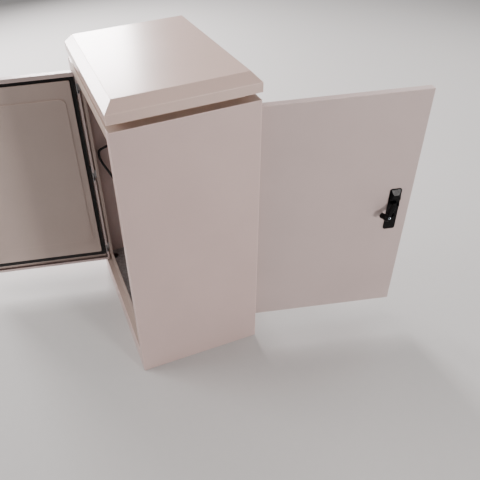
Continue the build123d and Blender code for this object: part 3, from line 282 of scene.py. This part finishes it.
def handle_black(name):
    """Satin black casting with a random cloud of dust and a worn edge."""
    material, tree, shader = new_material(name)
    cloud = noise(tree, 90.0, 5.0, 0.65)
    dust = ramp(tree, cloud, [(0.5, (0.0018, 0.0018, 0.002)), (0.9, (0.009, 0.0085, 0.008))])
    worn = mixed(tree, edge_share(tree, 0.0006), dust, (0.014, 0.014, 0.016))
    tree.links.new(worn, shader.inputs["Base Color"])
    tree.links.new(grey_range(tree, noise(tree, 120.0, 3.0), 0.26, 0.36), shader.inputs["Roughness"])
    shader.inputs["Specular IOR Level"].default_value = 0.12
    bump(tree, shader, noise(tree, 900.0, 2.0), 0.00012, 0.35)
    return material


finishes = {
    # edge sets how much paler the painted highlight on the folds is.
    "side_paint": powder_coat("side_paint", (0.67, 0.505, 0.470), edge=1.4),
    "roof_paint": powder_coat("roof_paint", (0.70, 0.515, 0.450), peel=0.00014, roughness=0.31, edge=1.4,
                              gloss=0.45),
    "door_paint": powder_coat("door_paint", (0.605, 0.485, 0.460), roughness=0.4, edge=1.35),
    # A darker copy of the cabinet's paint: painted shade on the door frames and the doors' inner liners.
    "shaded_liner_paint": powder_coat("shaded_liner_paint", (0.54, 0.43, 0.38)),
    # A darker, browner copy of the cabinet's paint: painted shade on the top panel and the neck under the
    # roof.
    "shaded_frame_paint": powder_coat("shaded_frame_paint", (0.54, 0.42, 0.35)),
    "zinc": galvanised("zinc", (0.52, 0.53, 0.54)),
    "bright_steel": brushed("bright_steel", (0.62, 0.62, 0.62), (1, 1, 12)),
    "handle_black": handle_black("handle_black"),
    "lock_chrome": brushed("lock_chrome", (0.50, 0.58, 0.66), (1, 1, 4), roughness=0.14, metallic=1.0),
    "lock_face": brushed("lock_face", (0.03, 0.036, 0.045), (1, 1, 4), roughness=0.3, metallic=1.0),
    "foam": moulded("foam", (0.012, 0.011, 0.011), roughness=0.8, grain=900.0, relief=0.0004, spread=0.25),
    "aluminium": brushed("aluminium", (0.60, 0.61, 0.62), (1, 1, 14), roughness=0.36),
    "panel_grey": powder_coat("panel_grey", (0.42, 0.43, 0.44)),
    "display": moulded("display", (0.012, 0.022, 0.014), roughness=0.12, relief=0.00003, spread=0.2),
    "pale_plastic": moulded("pale_plastic", (0.56, 0.56, 0.54)),
    "terminal_plastic": moulded("terminal_plastic", (0.30, 0.31, 0.30)),
    "black_plastic": moulded("black_plastic", (0.018, 0.018, 0.019)),
    "box_plastic": moulded("box_plastic", (0.45, 0.45, 0.43)),
    "sheath": moulded("sheath", (0.014, 0.013, 0.013), roughness=0.5, grain=700.0, relief=0.0002, spread=0.3),
    "key_rubber": moulded("key_rubber", (0.05, 0.07, 0.12), roughness=0.55),
    "lamp_red": moulded("lamp_red", (0.38, 0.015, 0.012), roughness=0.2),
    "lamp_amber": moulded("lamp_amber", (0.55, 0.22, 0.01), roughness=0.2),
    "lamp_green": moulded("lamp_green", (0.015, 0.30, 0.05), roughness=0.2),
    "segment_red": moulded("segment_red", (0.30, 0.012, 0.010), roughness=0.3),
}


# Shapes
def soften(obj, width, angle=EDGE_ANGLE):
    """Rounds the sharp edges of a sheet or a casting, as folding and moulding do."""
    for polygon in obj.data.polygons:
        polygon.use_smooth = True
    for attribute in ("custom_normal", "sharp_edge", "sharp_face"):
        if attribute in obj.data.attributes:
            obj.data.attributes.remove(obj.data.attributes[attribute])
    weld = obj.modifiers.new("weld", "WELD")
    weld.merge_threshold = WELD_DISTANCE
    bevel = obj.modifiers.new("bevel", "BEVEL")
    bevel.width = width
    bevel.segments = EDGE_SEGMENTS
    bevel.limit_method = "ANGLE"
    bevel.angle_limit = math.radians(angle)
    bevel.harden_normals = True
    bevel.miter_outer = "MITER_ARC"


def dress(finish, width, *names, angle=EDGE_ANGLE):
    """Gives CAD nodes a finish and rounds their edges that are sharper than an angle."""
    for name in names:
        node = nodes[name]
        node.data.materials.clear()
        node.data.materials.append(finishes[finish])
        soften(node, width, angle)


def piece(name, body, build, finish_names, width=0):
    """A new mesh piece that rides on a body; build fills a bmesh in the row frame."""
    mesh = bpy.data.meshes.new(name)
    shape = bmesh.new()
    build(shape)
    bmesh.ops.recalc_face_normals(shape, faces=shape.faces)
    shape.to_mesh(mesh)
    shape.free()
    for finish in finish_names:
        mesh.materials.append(finishes[finish])
    obj = bpy.data.objects.new(name, mesh)
    bpy.context.scene.collection.objects.link(obj)
    if width:
        soften(obj, width)
    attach(obj, body)


def facing(direction, x, y, z):
    """A place on a surface that faces a direction; the place's Z points out of the surface."""
    turn = [math.radians(angle) for angle in direction]
    return Matrix.Translation((x, y, z)) @ Euler(turn).to_matrix().to_4x4()


def raised(place, height):
    """A place moved outwards along its own Z."""
    return place @ Matrix.Translation((0, 0, height))


def paint(made, index):
    """Gives the faces that touch newly made vertices a material index."""
    for face in {face for vertex in made["verts"] for face in vertex.link_faces}:
        face.material_index = index


def add_cylinder(shape, place, radius, length, index=0, segments=20, tip=None):
    """A round stud along the place's Z, from its origin outwards, optionally tapered."""
    paint(bmesh.ops.create_cone(
        shape, cap_ends=True, segments=segments, radius1=radius, radius2=radius if tip is None else tip,
        depth=length, matrix=raised(place, length / 2),
    ), index)


def add_block(shape, place, size, index=0):
    """A block standing on the place's XY plane."""
    paint(bmesh.ops.create_cube(
        shape, size=1, matrix=raised(place, size[2] / 2) @ Matrix.Diagonal((*size, 1)),
    ), index)


def add_dome(shape, place, radius, height, index=0):
    """A low round dome on the place's XY plane."""
    paint(bmesh.ops.create_uvsphere(
        shape, u_segments=16, v_segments=8, radius=1,
        matrix=place @ Matrix.Diagonal((radius, radius, height, 1)),
    ), index)


def add_screw(shape, place, size, index=0, dark=1):
    """A pan head screw with a dark cross on it, of a size given as radius and height."""
    radius, height = size
    shoulder = height * 0.7
    length = radius * 1.1
    width = radius * 0.24
    relief = 0.0003
    add_cylinder(shape, place, radius, shoulder, index)
    add_cylinder(shape, raised(place, shoulder), radius, height * 0.3, index, tip=radius * 0.72)
    top = raised(place, height - 0.0002)
    for bar in ((length, width, relief), (width, length, relief)):
        add_block(shape, top, bar, dark)


def turned(shape, place, outline):
    """A turned ring around the place's Z, from a closed outline of (radius, height) points."""
    rows = []
    for step in range(RING_SEGMENTS):
        angle = 2 * math.pi * step / RING_SEGMENTS
        across, along = math.cos(angle), math.sin(angle)
        rows.append([shape.verts.new(place @ Vector((radius * across, radius * along, height)))
                     for radius, height in outline])
    for row, other in zip(rows, rows[1:] + rows[:1]):
        for corner in range(len(outline)):
            after = (corner + 1) % len(outline)
            shape.faces.new((row[corner], other[corner], other[after], row[after]))


def solid_boxes(name):
    """The lowest and highest corners of each separate solid of a CAD node, from left to right."""
    mesh = nodes[name].data
    keys = {}
    group = []
    for vertex in mesh.vertices:
        place = tuple(round(value, 5) for value in vertex.co)
        group.append(keys.setdefault(place, len(keys)))
    leader = list(range(len(keys)))

    def find(index):
        while leader[index] != index:
            leader[index] = leader[leader[index]]
            index = leader[index]
        return index

    for edge in mesh.edges:
        first, second = (find(group[index]) for index in edge.vertices)
        leader[first] = second
    boxes = {}
    for vertex, index in zip(mesh.vertices, group):
        low, high = boxes.setdefault(find(index), (vertex.co.copy(), vertex.co.copy()))
        for axis in range(3):
            low[axis] = min(low[axis], vertex.co[axis])
            high[axis] = max(high[axis], vertex.co[axis])
    return sorted(boxes.values(), key=lambda box: tuple(box[0]))


dress("side_paint", 0.0012, "left_side_panel", "right_side_panel", "sill_panels")
# The top panel and the neck under the roof get the darker frame paint, which is painted shade.
dress("shaded_frame_paint", 0.0005, "top_panel", "neck_frame")
# The door frames here and the door liners below get the darker liner paint, which is painted shade.
dress("shaded_liner_paint", 0.0006, "front_door_frame", "rear_door_frame")
dress("roof_paint", 0.0018, "roof_cap")
dress("door_paint", 0.0011, "front_door_pan", "rear_door_pan")
dress("shaded_liner_paint", 0.0010, "front_door_liner", "rear_door_liner")
dress("zinc", 0.0004, "floor_panel", "base_frame", "rack_posts", "gland_plate", "mounting_rails",
      "equipment_shelf", "document_pocket")
for side in SIDES:
    dress("zinc", 0.0003, f"{side}_hinge_brackets", f"{side}_hinge_leaves", f"{side}_rod_cam",
          f"{side}_upper_rod", f"{side}_lower_rod")
    dress("bright_steel", 0.0003, f"{side}_hinge_pins")
    dress("foam", 0.0012, f"{side}_door_seal")
    dress("handle_black", 0.0007, f"{side}_handle_hub", f"{side}_handle_lever", f"{side}_lock_cylinder")
    dress("handle_black", 0.0006, f"{side}_handle_plate", angle=FACET_ANGLE)
    dress("lock_face", 0.0004, f"{side}_lock_plug")
dress("bright_steel", 0.0004, "roof_bolts")
dress("aluminium", 0.0004, "controller_rack", "output_cards", "control_card")
dress("display", 0.0002, "control_display")
dress("panel_grey", 0.0004, "breaker_panel", "power_supply")
dress("pale_plastic", 0.0006, "circuit_breakers")
dress("terminal_plastic", 0.0005, "terminal_blocks")
dress("black_plastic", 0.0005, "mains_breaker_toggle", "lamp_breaker_toggle", "fan_housing", "fan_rotor",
      "cable_glands")
dress("box_plastic", 0.0012, "supply_box")
dress("sheath", 0.0004, "cable_sleeve")


# Cable
def make_cable():
    """The cable as one smooth spline from the inlet box down to its gland."""
    line = bpy.data.curves.new("cable_line", "CURVE")
    line.dimensions = "3D"
    line.bevel_depth = CABLE_RADIUS
    line.bevel_resolution = 5
    line.resolution_u = 16
    line.use_fill_caps = True
    spline = line.splines.new("NURBS")
    route = (CABLE_START, *CABLE_POINTS, CABLE_END)
    spline.points.add(len(route) - 1)
    for point, place in zip(spline.points, route):
        point.co = (*place, 1)
    spline.order_u = 3
    spline.use_endpoint_u = True
    line.materials.append(finishes["sheath"])
    cable = bpy.data.objects.new("cable", line)
    bpy.context.scene.collection.objects.link(cable)
    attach(cable, "cabinet")
    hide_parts("signal_cable")


make_cable()


# Fine parts, each placed from the box of the CAD node that carries it
def make_boots():
    """Tapered strain reliefs: a ribbed one where the cable leaves the inlet box, a plain one at its gland."""
    sleeve_low, sleeve_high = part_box("cable_sleeve")
    bore = (sleeve_high.z - sleeve_low.z) / 2 + 0.00005
    outlet = facing(REAR, CABLE_START[0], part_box("supply_box")[1].y, CABLE_START[2])

    def ribbed(shape):
        length = 0.040
        wall = 0.0006
        collar_radius = 0.0108
        first_rib = 0.005
        rib_radius = 0.0101
        rib_pitch = 0.0055
        rib_taper = 0.0004
        groove_depth = 0.0009
        outline = [(bore, 0.0), (collar_radius, 0.0), (collar_radius, 0.004)]
        for rib in range(6):
            height = first_rib + rib * rib_pitch
            radius = rib_radius - rib * rib_taper
            outline += [(radius - groove_depth, height), (radius, height + 0.0008), (radius, height + 0.0034),
                        (radius - groove_depth, height + 0.0042)]
        outline += [(bore + wall, length), (bore, length)]
        turned(shape, outlet, outline)

    def plain(shape):
        length = 0.024
        inner = 0.0053
        foot = 0.0085
        tip = 0.0062
        place = facing(UP, CABLE_END[0], CABLE_END[1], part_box("cable_glands")[1].z - 0.001)
        turned(shape, place, [(inner, 0.0), (foot, 0.0), (foot, 0.004), (tip, length), (inner, length)])

    piece("cable_boot", "cabinet", ribbed, ["black_plastic"])
    piece("gland_boot", "cabinet", plain, ["black_plastic"])


def make_card_parts():
    """Channel lamps and captive screws on the cards, and the screws of the ears on the uprights."""
    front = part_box("controller_rack")[0].y
    cards = solid_boxes("output_cards")

    def lamps(shape):
        top_inset = 0.062
        lamp_pitch = 0.036
        for low, high in cards:
            middle = (low.x + high.x) / 2
            for channel in range(4):
                place = facing(FRONT, middle, front, high.z - top_inset - channel * lamp_pitch)
                add_cylinder(shape, place, radius=0.0031, length=0.0009, tip=0.0027)
                add_dome(shape, raised(place, 0.0008), radius=0.0020, height=0.0026, index=1 + channel % 3)

    def screws(shape):
        end_inset = 0.027
        side_inset = 0.012
        control_low, control_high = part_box("control_card")
        columns = [((low.x + high.x) / 2, low.z, high.z) for low, high in cards]
        columns += [(control_high.x - side_inset, control_low.z, control_high.z)]
        for x, low_z, high_z in columns:
            for z in (low_z + end_inset, high_z - end_inset):
                add_screw(shape, facing(FRONT, x, front, z), CARD_SCREW)

    def ear_screws(shape):
        ear_inset = 0.0085
        shares_up = {"controller_rack": (0.03, 0.40, 0.60, 0.97), "breaker_panel": (0.12, 0.88),
                     "equipment_shelf": (0.65,)}
        for name, shares in shares_up.items():
            low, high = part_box(name)
            for share in shares:
                z = low.z + (high.z - low.z) * share
                for x in (low.x + ear_inset, high.x - ear_inset):
                    add_screw(shape, facing(FRONT, x, low.y, z), EAR_SCREW)

    piece("channel_lamps", "cabinet", lamps, ["black_plastic", "lamp_red", "lamp_amber", "lamp_green"])
    piece("card_screws", "cabinet", screws, ["bright_steel", "black_plastic"])
    piece("ear_screws", "cabinet", ear_screws, ["bright_steel", "black_plastic"])


def make_keypad():
    """Rubber caps over the twelve keys, one of them red, and the segments of four digits on the display."""
    low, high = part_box("control_display")
    middle = (low.x + high.x) / 2
    digits_z = (low.z + high.z) / 2
    keys_z = digits_z - KEYS_BELOW_DISPLAY

    def keys(shape):
        radius = 0.0046
        wall = 0.0018
        for row in range(3):
            for column in range(4):
                x = middle + (column - 1.5) * KEY_PITCH
                place = facing(FRONT, x, low.y, keys_z + (row - 1) * KEY_PITCH)
                index = 1 if row == 0 and column == 3 else 0
                add_cylinder(shape, place, radius, wall, index)
                add_cylinder(shape, raised(place, wall), radius, length=0.0008, index=index, tip=0.0036)

    def digits(shape):
        digit_pitch = 0.0135
        bar = 0.0070
        thin = 0.0014
        tall = 0.0078
        relief = 0.0003
        for number in range(4):
            x = middle + (number - 1.5) * digit_pitch
            for level in (-1, 0, 1):
                add_block(shape, facing(FRONT, x, low.y, digits_z + level * tall), (bar, thin, relief))
            for side in (-1, 1):
                for level in (-0.5, 0.5):
                    place = facing(FRONT, x + side * bar * 0.62, low.y, digits_z + level * tall)
                    add_block(shape, place, (thin, tall - 0.0016, relief))
            add_block(shape, facing(FRONT, x + 0.0067, low.y, digits_z - tall), (thin, thin, relief))

    piece("key_caps", "cabinet", keys, ["key_rubber", "lamp_red"])
    piece("display_digits", "cabinet", digits, ["segment_red"])


def make_wiring_parts():
    """Clamp screws, the power unit's ribs, terminals and lamp, and the inlet box's lid."""

    def clamps(shape):
        row_offset = 0.010
        washer = 0.0004
        breaker_inset = 0.026
        for low, high in solid_boxes("terminal_blocks"):
            for column in range(4):
                x = low.x + (high.x - low.x) * (column + 0.5) / 4
                for z in ((low.z + high.z) / 2 - row_offset, (low.z + high.z) / 2 + row_offset):
                    place = facing(FRONT, x, low.y, z)
                    add_cylinder(shape, place, radius=0.0033, length=washer, index=1)
                    add_screw(shape, raised(place, washer), TERMINAL_SCREW)
        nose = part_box("circuit_breakers")[0].y
        for low, high in solid_boxes("circuit_breakers"):
            for z in (low.z + breaker_inset, high.z - breaker_inset):
                for share in (0.25, 0.75):
                    add_screw(shape, facing(FRONT, low.x + (high.x - low.x) * share, nose, z), BREAKER_SCREW)

    def supply_front(shape):
        rib_size = (0.110, 0.0030, 0.0016)
        rib_pitch = 0.0075
        strip_size = (0.120, 0.018, 0.010)
        terminal_pitch = 0.0145
        lamp_inset = 0.022
        low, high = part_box("power_supply")
        middle = (low.x + high.x) / 2
        for row in range(9):
            add_block(shape, facing(FRONT, middle - 0.030, low.y, high.z - 0.016 - row * rib_pitch), rib_size)
        strip = facing(FRONT, middle, low.y, low.z + 0.018)
        add_block(shape, strip, strip_size, index=1)
        for column in range(8):
            place = strip @ Matrix.Translation(((column - 3.5) * terminal_pitch, 0, strip_size[2]))
            add_screw(shape, place, STRIP_SCREW, index=2)
        lamp = facing(FRONT, high.x - lamp_inset, low.y, high.z - lamp_inset)
        add_dome(shape, lamp, radius=0.0024, height=0.0026, index=3)

    def lid(shape):
        thickness = 0.0030
        margin = 0.006
        screw_inset = 0.010
        low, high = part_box("supply_box")
        width = high.y - OUTLET_LENGTH - low.y
        height = high.z - low.z
        face = facing(LEFT, low.x, (low.y + high.y - OUTLET_LENGTH) / 2, (low.z + high.z) / 2)
        add_block(shape, face, (height - margin, width - margin, thickness))
        for up in (-1, 1):
            for along in (-1, 1):
                corner = (up * (height / 2 - screw_inset), along * (width / 2 - screw_inset), thickness)
                add_screw(shape, face @ Matrix.Translation(corner), LID_SCREW, index=1, dark=2)

    piece("clamp_screws", "cabinet", clamps, ["bright_steel", "black_plastic"])
    piece("power_supply_front", "cabinet", supply_front,
          ["panel_grey", "black_plastic", "bright_steel", "lamp_green"])
    piece("inlet_lid", "cabinet", lid, ["box_plastic", "bright_steel", "black_plastic"],
          width=0.0006)


def make_guard_and_plates():
    """The wire guard under the roof fan, and the screws of the gland plate and the fan."""
    low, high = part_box("fan_housing")
    centre = ((low.x + high.x) / 2, (low.y + high.y) / 2)

    def guard(shape):
        wire = 0.0009
        spoke_start = 0.010
        spoke_length = 0.064
        screw_reach = 0.0742
        place = facing(UP, *centre, low.z - 0.0020)
        for radius in (0.012, 0.022, 0.032, 0.042, 0.052):
            outline = []
            for turn in range(0, 360, 60):
                angle = math.radians(turn)
                outline.append((radius + wire * math.cos(angle), wire * math.sin(angle)))
            turned(shape, place, outline)
        for spoke in range(4):
            heading = math.radians(45 + 90 * spoke)
            along = Euler((0, math.radians(90), heading)).to_matrix().to_4x4()
            add_cylinder(shape, raised(raised(place, -0.0012) @ along, spoke_start), wire, spoke_length,
                         segments=8)
            corner = Euler((0, 0, heading)).to_matrix() @ Vector((screw_reach, 0, 0))
            add_screw(shape, facing(DOWN, centre[0] + corner.x, centre[1] + corner.y, low.z), FAN_SCREW)

    def plate_screws(shape):
        inset = 0.010
        plate_low, plate_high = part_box("gland_plate")
        for share in (0.0, 1 / 3, 2 / 3, 1.0):
            x = plate_low.x + inset + (plate_high.x - plate_low.x - 2 * inset) * share
            for y in (plate_low.y + inset, plate_high.y - inset):
                add_screw(shape, facing(UP, x, y, plate_high.z), PLATE_SCREW)

    piece("fan_guard", "cabinet", guard, ["bright_steel", "black_plastic"])
    piece("gland_plate_screws", "cabinet", plate_screws, ["bright_steel", "black_plastic"])


def make_lock_rings():
    """A chrome collar and a dark key slot on each lock, which turn with the plug."""
    for side in SIDES:
        joint = joints[f"{side}_key_turn"]
        axis = Vector(joint["axis"]).normalized()
        anchor = Vector(joint["pos_m"])
        outward = Vector((-1, 0, 0)) if side == "front" else Vector((1, 0, 0))
        if axis.dot(outward) < 0:
            axis.negate()
        reach = max((vertex.co - anchor).dot(axis) for vertex in nodes[f"{side}_lock_plug"].data.vertices)
        place = Matrix.Translation(anchor + axis * reach) @ axis.to_track_quat("Z", "Y").to_matrix().to_4x4()

        def collar(shape, place=place):
            turned(shape, place, [(0.0032, -0.0004), (0.0046, -0.0004), (0.0046, 0.0003), (0.0041, 0.0007),
                                  (0.0035, 0.0005), (0.0032, 0.0001)])
            add_block(shape, place, (0.0010, 0.0052, 0.0002), index=1)

        piece(f"{side}_lock_collar", f"{side}_key_plug", collar, ["lock_chrome", "black_plastic"])


make_boots()
make_card_parts()
make_keypad()
make_wiring_parts()
make_guard_and_plates()
make_lock_rings()


# Camera, floor and light
def make_camera():
    """The camera at the photograph's place, with its frame shifted as the photograph was cropped."""
    data = bpy.data.cameras.new("camera")
    data.sensor_width = SENSOR
    data.lens = FOCAL_PIXELS * SENSOR / IMAGE_SIZE
    data.shift_x = (IMAGE_SIZE / 2 - OPTICAL_CENTRE[0]) / IMAGE_SIZE
    data.shift_y = (OPTICAL_CENTRE[1] - IMAGE_SIZE / 2) / IMAGE_SIZE
    camera = bpy.data.objects.new("camera", data)
    camera.location = CAMERA_PLACE
    camera.rotation_euler = [math.radians(angle) for angle in CAMERA_TURN]
    bpy.context.scene.collection.objects.link(camera)
    bpy.context.scene.camera = camera


def make_floor():
    """A plain pale floor."""
    mesh = bpy.data.meshes.new("floor")
    shape = bmesh.new()
    bmesh.ops.create_grid(shape, x_segments=1, y_segments=1, size=FLOOR_SIZE)
    shape.to_mesh(mesh)
    shape.free()
    floor = bpy.data.objects.new("floor", mesh)
    floor.location = (0, 0, -FLOOR_DROP)
    bpy.context.scene.collection.objects.link(floor)
    mesh.materials.append(moulded("floor_paint", (0.62, 0.62, 0.61), roughness=0.7, grain=40.0,
                                  relief=0.0002, spread=0.01))


def make_light(name, place, target, size, power, colour=WARM):
    """A square soft light aimed at a point."""
    data = bpy.data.lights.new(name, "AREA")
    data.size = size
    data.energy = power
    data.color = colour
    light = bpy.data.objects.new(name, data)
    light.location = place
    direction = Vector(target) - Vector(place)
    light.rotation_euler = direction.to_track_quat("-Z", "Y").to_euler()
    light.visible_camera = False
    bpy.context.scene.collection.objects.link(light)


make_camera()
make_floor()
make_light("window", (1.4, 3.2, 2.9), (0, 0, 0.6), size=2.2, power=105)
make_light("ceiling", (0.4, 0.2, 3.4), (0, 0, 0), size=2.6, power=50)
make_light("back_panel", (4.35, -0.25, 2.40), (0, 0, 1.0), size=1.3, power=270, colour=(1.0, 0.94, 0.94))
make_light("bevel_panel", (3.9, 1.9, 1.6), (0, 0.2, 1.0), size=1.2, power=160, colour=(1.0, 0.95, 0.96))
make_light("side_panel_light", (-3.77, -1.41, 1.17), (-0.3, -0.3, 0.6), size=0.6, power=72)
make_light("low_spot", (-1.34, -2.60, 1.05), (-0.35, -0.6, 0.5), size=0.25, power=7)
make_light("front_fill", (1.2, -3.4, 2.2), (0, 0, 0.5), size=2.4, power=45)
world = bpy.data.worlds.new("studio")
world.use_nodes = True
world.node_tree.nodes["Background"].inputs["Color"].default_value = (0.95, 0.92, 0.92, 1)
world.node_tree.nodes["Background"].inputs["Strength"].default_value = 0.30
bpy.context.scene.world = world
